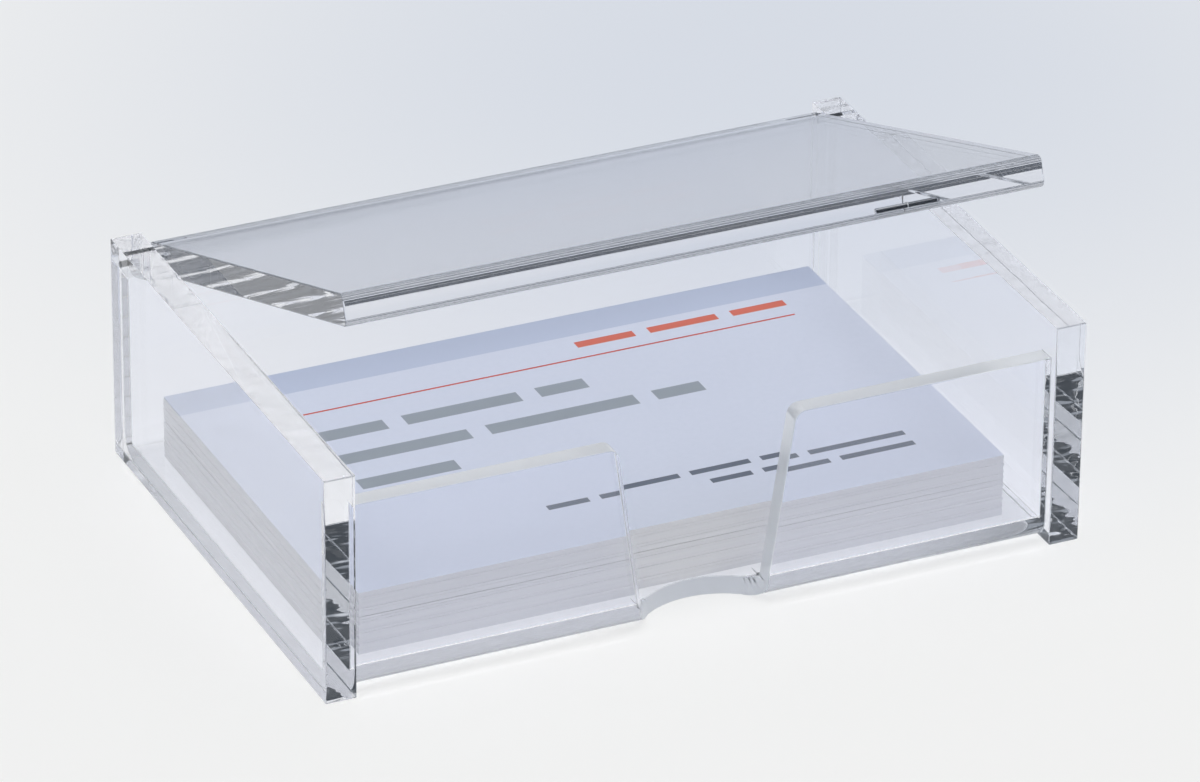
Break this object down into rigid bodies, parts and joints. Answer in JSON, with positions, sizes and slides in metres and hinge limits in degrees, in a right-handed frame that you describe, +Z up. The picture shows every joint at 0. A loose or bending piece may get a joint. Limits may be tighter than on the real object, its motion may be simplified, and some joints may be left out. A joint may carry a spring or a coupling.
{
  "type": "business card holder",
  "caption": "Clear acrylic desk box for business cards: a bent tray with a finger notch between flat sides, and a flat lid that turns on steel pins and stays where it is put.",
  "frame": {"origin": "on the desk, under the middle of the box", "axes": "+X along the box's width to the right, +Y towards the hinge at the back, +Z up; the finger notch faces -Y"},
  "size_m": [0.1, 0.068, 0.0511],
  "materials": {
    "clear_acrylic": "clear cast sheet, polished faces and edges",
    "pin_steel": "dark drawn wire",
    "card_paper": "smooth white card stock, printed with plain bars only"
  },
  "bodies": {
    "box": {"left_side_panel": "clear_acrylic", "right_side_panel": "clear_acrylic", "tray": "clear_acrylic", "left_hinge_pin": "pin_steel", "right_hinge_pin": "pin_steel"},
    "lid": {"lid": "clear_acrylic"},
    "cards": {"card_stack": "card_paper"}
  },
  "joints": [
    {"name": "lid_hinge", "type": "hinge", "parent": "box", "child": "lid", "pos_m": [0, 0.0308, 0.0279], "axis": [-1, 0, 0], "range_deg": [-20, 163.4]},
    {"name": "card_lift", "type": "slide", "parent": "box", "child": "cards", "axis": [0, 0, 1], "range_m": [0, 0.014]}
  ]
}
